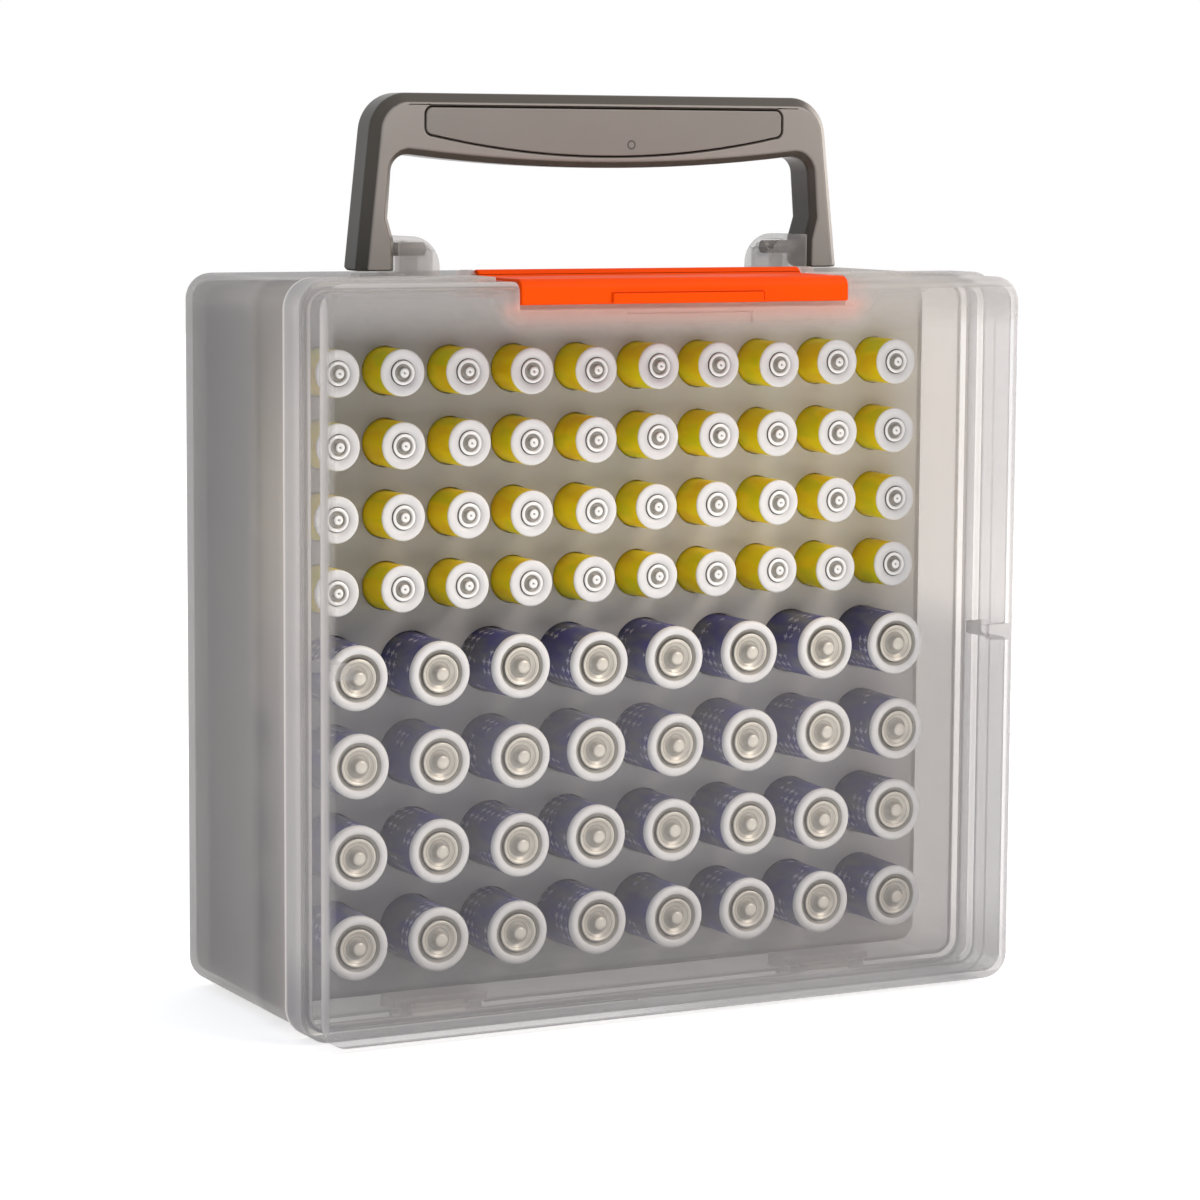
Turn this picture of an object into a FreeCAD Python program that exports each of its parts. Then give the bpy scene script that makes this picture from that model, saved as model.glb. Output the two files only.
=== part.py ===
import FreeCAD, Part
import math
import os
import Sketcher

# Battery carry case of translucent polypropylene: a base shell and a hinged front lid,
# a snap latch, a bail handle, and a socket tray that holds 40 AAA and 32 AA cells.
# X runs across the case, +Y to its back, +Z up. The origin is under the middle of the case.

SIZES = {
    # Case, measured over the lid's rim
    "case_width": 176.0,
    "case_height": 165.8,
    "case_depth": 82.3,
    "lid_depth": 21.3,
    "rim_band": 9.4,
    "rim_step": 0.8,
    "wall": 1.8,
    "corner_radius": 6.0,
    "front_edge_radius": 2.6,
    "back_edge_radius": 3.0,
    "shell_gap": 0.3,
    "tongue_length": 7.3,
    "tongue_wall": 1.5,
    "tongue_gap": 0.4,
    "overrun": 1.0,
    # Lid details
    "finger_recess_width": 31.4,
    "finger_recess_height": 4.0,
    "finger_recess_drop": 7.8,
    "finger_recess_depth": 0.5,
    "gusset_reach": 4.5,
    "gusset_thick": 3.0,
    # Lid hinge
    "hinge_spacing": 100.0,
    "hinge_axis_rise": 2.0,
    "hinge_axis_setback": 3.2,
    "knuckle_radius": 1.9,
    "knuckle_length": 13.0,
    "hinge_length": 20.0,
    "hinge_pocket_depth": 7.0,
    "hood_wall": 1.4,
    "hinge_pin_radius": 1.0,
    "pin_play": 0.05,
    # Latch
    "latch_width": 82.0,
    "latch_side_gap": 0.6,
    "latch_wall": 1.6,
    "latch_setback": 0.8,
    "latch_top_drop": 0.2,
    "latch_skirt": 5.6,
    "latch_edge_radius": 2.4,
    "latch_barrel_radius": 2.2,
    "latch_axis_drop": 1.0,
    "latch_axis_setback": 2.6,
    "latch_ear_length": 3.2,
    "latch_bead": 0.5,
    "latch_bead_height": 1.2,
    "finger_tab_width": 38.0,
    "finger_tab_height": 2.5,
    "finger_tab_depth": 0.5,
    "notch_ledge_drop": 6.9,
    "notch_depth": 3.2,
    "notch_wall": 1.4,
    # Handle
    "pivot_from_front": 45.0,
    "pivot_rise": 6.0,
    "pivot_pin_radius": 1.5,
    "handle_thick": 11.0,
    "handle_bottom_drop": 4.7,
    "handle_top_rise": 34.7,
    "handle_foot_span": 123.8,
    "handle_top_span": 115.2,
    "foot_width": 9.1,
    "knee_step": 1.5,
    "crown_width": 4.4,
    "knee_low": 2.0,
    "knee_high": 7.0,
    "grip_underside_rise": 21.5,
    "grip_belly": 3.3,
    "handle_corner_radius": 9.0,
    "grip_corner_radius": 4.0,
    "handle_edge_bevel": 2.2,
    "grip_edge_bevel": 1.5,
    "heel_radius": 4.4,
    "panel_width": 91.0,
    "panel_top_drop": 3.2,
    "panel_end_height": 6.0,
    "panel_belly": 4.5,
    "panel_thick": 1.6,
    "panel_corner_radius": 1.6,
    "panel_gap": 0.3,
    "pin_hold": 7.0,
    # Handle lugs on the base
    "lug_length": 9.9,
    "lug_height": 9.0,
    "lug_thick": 12.6,
    "lug_wall": 1.2,
    "lug_round": 7.0,
    "lug_gap": 0.4,
    "saddle_length": 6.0,
    "saddle_width": 5.4,
    "rest_length": 6.0,
    "rest_height": 0.9,
    "rest_inset": 3.0,
    # Socket tray and cells
    "cell_floor_stand": 9.7,
    "socket_depth": 33.0,
    "plate_thick": 2.0,
    "skirt_wall": 1.4,
    "tray_gap": 0.3,
    "floor_thick": 1.6,
    "floor_rib_thick": 1.6,
    "socket_gap": 0.15,
    "aaa_radius": 5.25,
    "aaa_can_length": 43.3,
    "aaa_nub_radius": 1.9,
    "aaa_nub_height": 1.2,
    "aaa_side_margin": 8.7,
    "field_top_margin": 13.4,
    "field_bottom_margin": 7.8,
    "aa_radius": 7.25,
    "aa_can_length": 49.0,
    "aa_nub_radius": 2.75,
    "aa_nub_height": 1.5,
    "aa_side_margin": 9.0,
}
AAA_ACROSS, AA_ACROSS, ROWS = 10, 8, 4
NUB_FACES = 6
FLOOR_RIBS = 4


class Length:
    """A size: its value, and the expression that gives it from the sheet."""

    def __init__(self, value, text):
        self.value = value
        self.text = text

    def joined(self, other, sign, value):
        return Length(value, f"({self.text} {sign} {text_of(other)})")

    def __add__(self, other):
        return self.joined(other, "+", self.value + value_of(other))

    def __sub__(self, other):
        return self.joined(other, "-", self.value - value_of(other))

    def __mul__(self, other):
        return self.joined(other, "*", self.value * value_of(other))

    def __truediv__(self, other):
        return self.joined(other, "/", self.value / value_of(other))

    def __neg__(self):
        return Length(-self.value, f"(0 - {self.text})")


def text_of(size):
    return size.text if isinstance(size, Length) else repr(size)


def value_of(size):
    return size.value if isinstance(size, Length) else size


doc = FreeCAD.newDocument("battery_case")
sheet = doc.addObject("Spreadsheet::Sheet", "sizes")
for row, (name, value) in enumerate(SIZES.items(), start=1):
    sheet.set(f"A{row}", name)
    sheet.set(f"B{row}", str(value))
    sheet.setAlias(f"B{row}", name)
doc.recompute()


class Sizes:
    """Every cell of the sheet, read as a Length under its alias."""

    def __getattr__(self, name):
        return Length(SIZES[name], f"sizes.{name}")


s = Sizes()
sub_parts = []

# Planes and edges that several pieces share
front = -(s.case_depth / 2)
split = front + s.lid_depth
back = s.case_depth / 2
shell_half = s.case_width / 2 - s.rim_step
shell_bottom = s.rim_step * 1
shell_top = s.case_height - s.rim_step
latch_half = s.latch_width / 2
notch_half = latch_half + s.latch_side_gap
latch_top = s.case_height - s.latch_top_drop
latch_axis_y = split + s.latch_axis_setback
latch_axis_z = s.case_height - s.latch_axis_drop
hinge_y = split + s.hinge_axis_setback
hinge_z = s.hinge_axis_rise * 1
pivot_y = front + s.pivot_from_front
pivot_z = shell_top + s.pivot_rise
foot_outer = s.handle_foot_span / 2
foot_inner = foot_outer - s.foot_width
lug_outer = foot_inner - s.lug_gap
lug_inner = lug_outer - s.lug_length
cell_floor_y = back - s.cell_floor_stand
socket_plate_y = cell_floor_y - s.socket_depth
tray_half = shell_half - s.wall - s.tray_gap
tray_low = shell_bottom + s.wall + s.tray_gap
tray_high = shell_top - s.wall - s.tray_gap


def bind(item, prop, size):
    """Tie a property to the sheet, or set it where it is a plain zero."""
    if isinstance(size, Length):
        item.setExpression(prop, size.text)
    else:
        item.setExpression(prop, repr(size))


def place(item, x, y, z):
    for letter, size in zip("xyz", (x, y, z)):
        bind(item, f"Placement.Base.{letter}", size)


def new_body(label):
    body = doc.addObject("PartDesign::Body", label)
    sub_parts.append(body)
    return body


def volume(body):
    doc.recompute()
    return 0.0 if body.Shape.isNull() else body.Shape.Volume


def checked(body, before, grows, feature):
    """Stop if a feature left the piece as it was, or changed it the wrong way."""
    after = volume(body)
    if (after > before) != grows or abs(after - before) <= before * 1e-9:
        raise RuntimeError(f"{feature.Name} does not change {body.Label} as it should")
    return feature


def block(body, name, x, y, z, adds=True):
    """A box in a body, from three (low, high) pairs."""
    before = volume(body)
    kind = "PartDesign::AdditiveBox" if adds else "PartDesign::SubtractiveBox"
    box = body.newObject(kind, name)
    for prop, (low, high) in zip(("Length", "Width", "Height"), (x, y, z)):
        bind(box, prop, high - low)
    place(box, x[0], y[0], z[0])
    return checked(body, before, adds, box)


def rod(body, name, radius, x, y, z, adds=True):
    """A cylinder in a body along X, from x[0] to x[1]."""
    before = volume(body)
    kind = "PartDesign::AdditiveCylinder" if adds else "PartDesign::SubtractiveCylinder"
    cylinder = body.newObject(kind, name)
    cylinder.Placement = FreeCAD.Placement(
        FreeCAD.Vector(), FreeCAD.Rotation(FreeCAD.Vector(0, 1, 0), 90)
    )
    bind(cylinder, "Radius", radius)
    bind(cylinder, "Height", x[1] - x[0])
    place(cylinder, x[0], y, z)
    return checked(body, before, adds, cylinder)


def outline(body, name, plane, offset, corners, arcs=None):
    """A closed sketch through corners. Arcs give a radius, minus for inward, to some sides."""
    arcs = arcs or {}
    sketch = body.newObject("Sketcher::SketchObject", name)
    support = [item for item in body.Origin.OriginFeatures if item.Role == plane]
    sketch.AttachmentSupport = [(support[0], "")]
    sketch.MapMode = "FlatFace"
    if plane == "XZ_Plane":
        bind(sketch, "AttachmentOffset.Base.z", -offset)
    points = [FreeCAD.Vector(value_of(across), value_of(up), 0) for across, up in corners]
    starts = []
    for index, start in enumerate(points):
        end = points[(index + 1) % len(points)]
        if index in arcs:
            radius = value_of(arcs[index])
            half_chord = (end - start).Length / 2
            rise = abs(radius) - math.sqrt(radius * radius - half_chord * half_chord)
            outwards = FreeCAD.Vector(end.y - start.y, start.x - end.x, 0).normalize()
            middle = (start + end) * 0.5 + outwards * math.copysign(rise, radius)
            sketch.addGeometry(Part.Arc(start, middle, end), False)
        else:
            sketch.addGeometry(Part.LineSegment(start, end), False)
        # A sketch runs every arc anticlockwise, so an inward one starts at its far end.
        starts.append(2 if index in arcs and value_of(arcs[index]) < 0 else 1)
    for index in range(len(points)):
        after = (index + 1) % len(points)
        sketch.addConstraint(
            Sketcher.Constraint("Coincident", index, 3 - starts[index], after, starts[after])
        )
        for kind, size in zip(("DistanceX", "DistanceY"), corners[index]):
            number = sketch.addConstraint(
                Sketcher.Constraint(kind, -1, 1, index, starts[index], value_of(size))
            )
            bind(sketch, f"Constraints[{number}]", size)
        if index in arcs:
            radius = arcs[index] if value_of(arcs[index]) > 0 else -arcs[index]
            number = sketch.addConstraint(Sketcher.Constraint("Radius", index, radius.value))
            bind(sketch, f"Constraints[{number}]", radius)
    return sketch


def bow(chord, rise):
    """Radius of an arc over a chord, from its rise."""
    return (chord * chord / 4 + rise * rise) / (rise * 2)


def rounded_rectangle(body, name, offset, half, low, high, radius):
    """An upright rectangle with round corners, centred on the case."""
    corners = [
        (-(half - radius), low), (half - radius, low),
        (half, low + radius), (half, high - radius),
        (half - radius, high), (-(half - radius), high),
        (-half, high - radius), (-half, low + radius),
    ]
    arcs = {index: radius for index in (1, 3, 5, 7)}
    return outline(body, name, "XZ_Plane", offset, corners, arcs)


def pad(body, sketch, length, name, reverse=True):
    """Raise a sketch; reversed, one on the XZ plane grows towards +Y."""
    feature = body.newObject("PartDesign::Pad", name)
    feature.Profile = sketch
    bind(feature, "Length", length)
    feature.Reversed = reverse
    doc.recompute()
    return feature


def pocket(body, sketch, length, name, reverse=False):
    """Sink a sketch; one on the XZ plane cuts towards +Y unless reversed."""
    before = volume(body)
    feature = body.newObject("PartDesign::Pocket", name)
    feature.Profile = sketch
    bind(feature, "Length", length)
    feature.Reversed = reverse
    return checked(body, before, False, feature)


def edges_where(feature, test):
    """Names of the edges whose two ends (or seam) and middle pass a test."""
    names = []
    for number, edge in enumerate(feature.Shape.Edges, start=1):
        middle = edge.valueAt((edge.FirstParameter + edge.LastParameter) / 2)
        if all(test(point) for point in (edge.Vertexes[0].Point, middle, edge.Vertexes[-1].Point)):
            names.append(f"Edge{number}")
    return names


def lengthwise_edges(feature, test=None):
    """Names of the straight edges along Y, as far as their middle passes a test."""
    names = []
    for number, edge in enumerate(feature.Shape.Edges, start=1):
        start, end = edge.Vertexes[0].Point, edge.Vertexes[-1].Point
        run = (end - start).Length
        if run > 0 and abs(end.y - start.y) >= run * 0.999 and edge.Curve.TypeId == "Part::GeomLine":
            if test is None or test((start + end) * 0.5):
                names.append(f"Edge{number}")
    return names


def rounded(body, base, names, radius, name):
    if not names:
        raise RuntimeError(f"{name} finds no edges on {body.Label}")
    feature = body.newObject("PartDesign::Fillet", name)
    feature.Base = (base, names)
    bind(feature, "Radius", radius)
    doc.recompute()
    if not feature.isValid():
        raise RuntimeError(f"{name} fails on {body.Label}")
    return feature


def bevelled(body, base, names, size, name):
    feature = body.newObject("PartDesign::Chamfer", name)
    feature.Base = (base, names)
    bind(feature, "Size", size)
    doc.recompute()
    if not feature.isValid():
        raise RuntimeError(f"{name} fails on {body.Label}")
    return feature


def at_y(where):
    """A test for points on the plane y = where."""
    level = value_of(where)
    return lambda point: abs(point[1] - level) <= SIZES["shell_gap"] * 1e-3


def shelled(body, base, open_y, name):
    """Hollow a solid inwards by the wall, leaving the face at open_y out."""
    faces = []
    for number, face in enumerate(base.Shape.Faces, start=1):
        box = face.BoundBox
        flat = box.YLength <= SIZES["shell_gap"] * 1e-3
        if flat and abs(box.YMin - value_of(open_y)) <= SIZES["shell_gap"] * 1e-3:
            faces.append(f"Face{number}")
    before = volume(body)
    feature = body.newObject("PartDesign::Thickness", name)
    feature.Base = (base, faces)
    bind(feature, "Value", s.wall)
    feature.Reversed = True
    feature.Join = 1
    return checked(body, before, False, feature)


def base_shell():
    """Rear half of the case: shell, tongue, hinge hoods, latch trough and handle lugs."""
    body = new_body("base_shell")
    start = split + s.shell_gap
    sketch = rounded_rectangle(
        body, "base_outline", start, shell_half, shell_bottom, shell_top, s.corner_radius * 1
    )
    base_block = pad(body, sketch, back - start, "base_block")
    hollow = shelled(body, base_block, start, "base_hollow")
    rounded(body, hollow, edges_where(hollow, at_y(back)), s.back_edge_radius, "base_back_edge")

    # The tongue runs round the mouth and slides inside the lid's rim.
    tongue_half = s.case_width / 2 - s.wall - s.tongue_gap
    tongue_low = s.wall + s.tongue_gap
    tongue_high = s.case_height - tongue_low
    tongue_radius = s.corner_radius + s.rim_step - s.wall - s.tongue_gap
    tip = split - s.tongue_length
    root = split + s.wall
    sketch = rounded_rectangle(
        body, "tongue_outline", tip, tongue_half, tongue_low, tongue_high, tongue_radius
    )
    pad(body, sketch, root - tip, "tongue_block")
    sketch = rounded_rectangle(
        body, "tongue_mouth", tip - s.overrun, tongue_half - s.tongue_wall,
        tongue_low + s.tongue_wall, tongue_high - s.tongue_wall, tongue_radius - s.tongue_wall,
    )
    pocket(body, sketch, root - tip + s.overrun * 2, "tongue_hollow")

    # Hoods over the hinge pockets in the bottom, and the ears that hold each hinge pin.
    hood_top = hinge_z + s.knuckle_radius + s.shell_gap
    pocket_back = split + s.hinge_pocket_depth
    for side, word in ((-1, "left"), (1, "right")):
        middle = s.hinge_spacing / 2 * side
        half = s.hinge_length / 2
        hood = half + s.hood_wall
        block(
            body, f"hinge_hood_{word}", (middle - hood, middle + hood),
            (start, pocket_back + s.hood_wall), (shell_bottom, hood_top + s.hood_wall),
        )
        block(
            body, f"hinge_pocket_{word}", (middle - half, middle + half),
            (split, pocket_back), (shell_bottom - s.overrun, hood_top), adds=False,
        )
        for end in (-1, 1):
            inner_end = middle + (s.knuckle_length / 2 + s.shell_gap) * end
            outer_end = middle + half * end
            low, high = (inner_end, outer_end) if end > 0 else (outer_end, inner_end)
            tag = f"{word}_{'inner' if end * side < 0 else 'outer'}"
            block(
                body, f"hinge_ear_{tag}", (low, high),
                (hinge_y - s.knuckle_radius, hinge_y + s.knuckle_radius),
                (hinge_z - s.hinge_pin_radius - s.pin_play, hood_top),
            )

    # Trough in the top edge for the latch barrel, with an ear at each end.
    trough_floor = latch_axis_z - s.latch_barrel_radius - s.shell_gap
    trough_back = latch_axis_y + s.latch_barrel_radius + s.shell_gap
    hood_half = notch_half + s.latch_ear_length
    block(
        body, "trough_hood", (-hood_half, hood_half),
        (start, trough_back + s.hood_wall), (trough_floor - s.hood_wall, shell_top),
    )
    block(
        body, "trough", (-notch_half, notch_half),
        (start - s.overrun, trough_back), (trough_floor, shell_top + s.overrun), adds=False,
    )
    for side, word in ((-1, "left"), (1, "right")):
        near, far = notch_half * side, hood_half * side
        span = (near, far) if side > 0 else (far, near)
        rod(body, f"latch_ear_{word}", s.latch_barrel_radius, span, latch_axis_y, latch_axis_z)

    # Handle lugs: hollow hoods, open outwards, with a saddle for the pivot pin.
    lug_front = pivot_y - s.lug_thick / 2
    lug_back = pivot_y + s.lug_thick / 2
    lug_top = shell_top + s.lug_height
    root_z = shell_top - s.wall / 2
    for side, word in ((-1, "left"), (1, "right")):
        near, far = lug_inner * side, lug_outer * side
        span = (near, far) if side > 0 else (far, near)
        lug = block(body, f"lug_{word}", span, (lug_front, lug_back), (root_z, lug_top))

        def on_inner_top(point, near=near):
            return abs(point.x - value_of(near)) < value_of(s.lug_gap) and point.z > value_of(pivot_z)

        rounded(body, lug, lengthwise_edges(lug, on_inner_top), s.lug_round, f"lug_round_{word}")
        inside = (near + s.lug_wall * side, far + s.overrun * side)
        inside = inside if side > 0 else (inside[1], inside[0])
        hollow = block(
            body, f"lug_hollow_{word}", inside,
            (lug_front + s.lug_wall, lug_back - s.lug_wall), (shell_top, lug_top - s.lug_wall),
            adds=False,
        )
        saddle_far = near + (s.lug_wall + s.saddle_length) * side
        saddle = (near + s.lug_wall * side / 2, saddle_far)
        saddle = saddle if side > 0 else (saddle[1], saddle[0])
        block(
            body, f"saddle_{word}", saddle,
            (pivot_y - s.saddle_width / 2, pivot_y + s.saddle_width / 2), (root_z, pivot_z),
        )
        groove = (near + s.lug_wall * side, far)
        groove = groove if side > 0 else (groove[1], groove[0])
        rod(body, f"saddle_groove_{word}", s.pivot_pin_radius, groove, pivot_y, pivot_z, adds=False)

        # A low rest in front of the pivot stops the leg from tipping forwards.
        rest_near = lug_outer * side
        rest_far = (foot_outer + s.overrun) * side
        rest = (rest_near, rest_far) if side > 0 else (rest_far, rest_near)
        rest_back = pivot_y - s.rest_inset
        block(
            body, f"leg_rest_{word}", rest,
            (rest_back - s.rest_length, rest_back), (root_z, shell_top + s.rest_height),
        )
    return body


def lid_shell():
    """Front door of the case: shell with a proud rim, latch notch and hinge knuckles."""
    body = new_body("lid_shell")
    sketch = rounded_rectangle(
        body, "lid_outline", front, shell_half, shell_bottom, shell_top, s.corner_radius * 1
    )
    pad(body, sketch, s.lid_depth, "lid_block")
    rim_front = split - s.rim_band
    sketch = rounded_rectangle(
        body, "rim_outline", rim_front, s.case_width / 2, s.rim_step * 0, s.case_height * 1,
        s.corner_radius + s.rim_step,
    )
    rim = pad(body, sketch, s.rim_band, "rim_block")
    hollow = shelled(body, rim, split, "lid_hollow")
    rounded(body, hollow, edges_where(hollow, at_y(front)), s.front_edge_radius, "lid_front_edge")

    # Notch in the top front edge: the wall steps back and down under the latch.
    ledge = s.case_height - s.notch_ledge_drop
    pocket_wall_back = front + s.notch_depth + s.notch_wall
    shelf_top = latch_top - s.latch_wall - s.shell_gap
    hood_half = notch_half + s.notch_wall
    block(
        body, "notch_backing", (-hood_half, hood_half),
        (front + s.wall, pocket_wall_back), (ledge - s.notch_wall, shell_top - s.wall / 2),
    )
    block(
        body, "notch", (-notch_half, notch_half),
        (front - s.overrun, front + s.notch_depth), (ledge, s.case_height + s.overrun), adds=False,
    )
    block(
        body, "notch_top", (-notch_half, notch_half),
        (front + s.notch_depth - s.overrun, split + s.overrun),
        (shelf_top, s.case_height + s.overrun), adds=False,
    )
    catch_y = front + s.notch_depth
    catch_z = latch_top - s.latch_skirt + s.latch_bead_height + s.shell_gap
    block(
        body, "latch_catch", (-(latch_half / 2), latch_half / 2),
        (catch_y - s.latch_bead, catch_y + s.notch_wall / 2),
        (catch_z, catch_z + s.latch_bead_height),
    )

    # Shallow recess under the latch, where a finger starts.
    recess_top = s.case_height - s.finger_recess_drop
    block(
        body, "finger_recess", (-(s.finger_recess_width / 2), s.finger_recess_width / 2),
        (front - s.overrun, front + s.finger_recess_depth),
        (recess_top - s.finger_recess_height, recess_top), adds=False,
    )

    # A gusset stiffens each side wall at half height.
    for side, word in ((-1, "left"), (1, "right")):
        near = (shell_half - s.wall - s.gusset_reach) * side
        far = (shell_half - s.wall / 2) * side
        span = (near, far) if side > 0 else (far, near)
        middle = s.case_height / 2
        block(
            body, f"gusset_{word}", span, (front + s.wall / 2, rim_front),
            (middle - s.gusset_thick / 2, middle + s.gusset_thick / 2),
        )

    # Knuckles reach back under the base and turn on the hinge pins.
    for side, word in ((-1, "left"), (1, "right")):
        middle = s.hinge_spacing / 2 * side
        span = (middle - s.knuckle_length / 2, middle + s.knuckle_length / 2)
        block(
            body, f"knuckle_arm_{word}", span,
            (split - s.wall, hinge_y), (hinge_z - s.knuckle_radius, s.wall * 1),
        )
        rod(body, f"knuckle_{word}", s.knuckle_radius, span, hinge_y, hinge_z)
        rod(
            body, f"knuckle_bore_{word}", s.hinge_pin_radius + s.pin_play,
            (span[0] - s.overrun, span[1] + s.overrun), hinge_y, hinge_z, adds=False,
        )
    return body


def latch():
    """Snap latch: barrel, top plate and front skirt in one L-shaped section."""
    body = new_body("latch")
    skirt_front = front + s.latch_setback
    plate_low = latch_top - s.latch_wall
    skirt_low = latch_top - s.latch_skirt
    span = (-latch_half, latch_half)
    plate = block(body, "latch_plate", span, (skirt_front, latch_axis_y), (plate_low, latch_top))
    skirt = block(
        body, "latch_skirt_wall", span,
        (skirt_front, skirt_front + s.latch_wall), (skirt_low, latch_top),
    )

    def on_top_front(point):
        at_front = abs(point[1] - value_of(skirt_front)) < value_of(s.latch_wall) / 4
        return at_front and abs(point[2] - value_of(latch_top)) < value_of(s.latch_wall) / 4

    rounded(body, skirt, edges_where(skirt, on_top_front), s.latch_edge_radius, "latch_nose")
    rod(body, "latch_barrel", s.latch_barrel_radius, span, latch_axis_y, latch_axis_z)
    bead_back = skirt_front + s.latch_wall + s.latch_bead
    block(
        body, "latch_hook", (-(latch_half / 2), latch_half / 2),
        (skirt_front + s.latch_wall / 2, bead_back), (skirt_low, skirt_low + s.latch_bead_height),
    )
    tab_half = s.finger_tab_width / 2
    block(
        body, "finger_tab", (-tab_half, tab_half),
        (skirt_front - s.finger_tab_depth, skirt_front + s.latch_wall / 2),
        (skirt_low, skirt_low + s.finger_tab_height),
    )
    rod(
        body, "latch_bore", s.hinge_pin_radius + s.pin_play,
        (span[0] - s.overrun, span[1] + s.overrun), latch_axis_y, latch_axis_z, adds=False,
    )
    return body


def handle_frame():
    """Bail handle: two tapered legs and a bellied grip, moulded in one piece."""
    body = new_body("handle_frame")
    handle_front = pivot_y - s.handle_thick / 2
    bottom = pivot_z - s.handle_bottom_drop
    top = pivot_z + s.handle_top_rise
    underside = pivot_z + s.grip_underside_rise
    crown = s.handle_top_span / 2
    knee = foot_inner + s.knee_step
    grip_end = crown - s.crown_width
    outside = [(foot_outer, bottom), (crown, top), (-crown, top), (-foot_outer, bottom)]
    left_inside = [
        (-foot_inner, bottom), (-foot_inner, pivot_z + s.knee_low),
        (-knee, pivot_z + s.knee_high), (-grip_end, underside),
    ]
    right_inside = [(-across, up) for across, up in reversed(left_inside)]
    corners = outside + left_inside + right_inside
    sketch = outline(
        body, "bail_outline", "XZ_Plane", handle_front, corners,
        arcs={len(outside + left_inside) - 1: bow(grip_end * 2, s.grip_belly * 1)},
    )
    bail = pad(body, sketch, s.handle_thick, "bail_block")

    def at_height(height):
        level = value_of(height)
        return lambda point: abs(point.z - level) < SIZES["shell_gap"]

    crown_round = rounded(
        body, bail, lengthwise_edges(bail, at_height(top)), s.handle_corner_radius, "bail_corners"
    )
    grip_round = rounded(
        body, crown_round, lengthwise_edges(crown_round, at_height(underside)),
        s.grip_corner_radius, "grip_corners",
    )

    # The edges round the outside are blunter than those round the finger gap.
    rear = pivot_y + s.handle_thick / 2
    above_feet = value_of(bottom + s.heel_radius / 2)

    def on_face(point):
        return at_y(handle_front)(point) or at_y(rear)(point)

    def round_gap(point):
        below_grip = point[2] < value_of(underside) + SIZES["shell_gap"]
        return on_face(point) and below_grip and abs(point[0]) < value_of(crown)

    gap_edges = edges_where(grip_round, round_gap)
    outer_edges = [
        name for name in edges_where(grip_round, on_face)
        if name not in gap_edges and grip_round.Shape.getElement(name).BoundBox.ZMax > above_feet
    ]
    blunt = bevelled(body, grip_round, outer_edges, s.handle_edge_bevel, "outer_edges")
    gap_edges = edges_where(blunt, round_gap)
    soft = bevelled(body, blunt, gap_edges, s.grip_edge_bevel, "gap_edges")

    # The heel of each leg is round, so that the handle can fold back over the case.
    def at_heel(point):
        return at_y(rear)(point) and abs(point[2] - value_of(bottom)) < SIZES["shell_gap"]

    rounded(body, soft, edges_where(soft, at_heel), s.heel_radius, "heels")

    # Recess in the front of the grip for the panel.
    sketch = panel_outline(body, "panel_recess_outline", handle_front - s.overrun, s.panel_gap)
    pocket(body, sketch, s.panel_thick + s.overrun, "panel_recess")
    for side, word in ((-1, "left"), (1, "right")):
        near, far = foot_inner * side, (foot_inner + s.pin_hold) * side
        span = (near, far) if side > 0 else (far, near)
        rod(
            body, f"pivot_bore_{word}", s.pivot_pin_radius + s.pin_play,
            span, pivot_y, pivot_z, adds=False,
        )
    return body


def panel_outline(body, name, offset, grow):
    """Outline of the grip panel, larger all round by grow, with a bellied lower edge."""
    radius = s.panel_corner_radius + grow
    half = s.panel_width / 2 + grow
    top = pivot_z + s.handle_top_rise - s.panel_top_drop + grow
    low = top - s.panel_end_height - grow * 2
    corners = [
        (-(half - radius), low), (half - radius, low),
        (half, low + radius), (half, top - radius),
        (half - radius, top), (-(half - radius), top),
        (-half, top - radius), (-half, low + radius),
    ]
    arcs = {index: radius for index in (1, 3, 5, 7)}
    arcs[0] = bow((half - radius) * 2, s.panel_belly * 1)
    return outline(body, name, "XZ_Plane", offset, corners, arcs)


def grip_panel():
    """Panel with a bellied lower edge, set flush in the front of the grip."""
    body = new_body("grip_panel")
    face = pivot_y - s.handle_thick / 2
    sketch = panel_outline(body, "panel_face_outline", face, 0)
    pad(body, sketch, s.panel_thick, "panel_block")
    return body


def socket_plate():
    """Front of the socket tray: a plate with a many-sided socket for each cell, and a skirt."""
    body = doc.addObject("PartDesign::Body", "tray_blank")
    radius = s.corner_radius - s.wall
    sketch = rounded_rectangle(
        body, "tray_outline", socket_plate_y, tray_half, tray_low, tray_high, radius
    )
    pad(body, sketch, s.socket_depth * 1, "tray_block")
    sketch = rounded_rectangle(
        body, "skirt_outline", socket_plate_y + s.plate_thick, tray_half - s.skirt_wall,
        tray_low + s.skirt_wall, tray_high - s.skirt_wall, radius - s.skirt_wall,
    )
    pocket(body, sketch, s.socket_depth * 1, "skirt_hollow")

    sockets = doc.addObject("Part::Compound", "sockets")
    sockets.Links = [
        prism(f"{kind['name']}_socket_{row + 1}_{column + 1}", kind["faces"],
              kind["radius"] + s.socket_gap, socket_plate_y - s.overrun,
              s.plate_thick + s.overrun * 2, *spot(kind, row, column))
        for kind in CELLS for row in range(ROWS) for column in range(kind["across"])
    ]
    plate = doc.addObject("Part::Cut", "socket_plate")
    plate.Base = body
    plate.Tool = sockets
    sub_parts.append(plate)
    return plate


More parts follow.
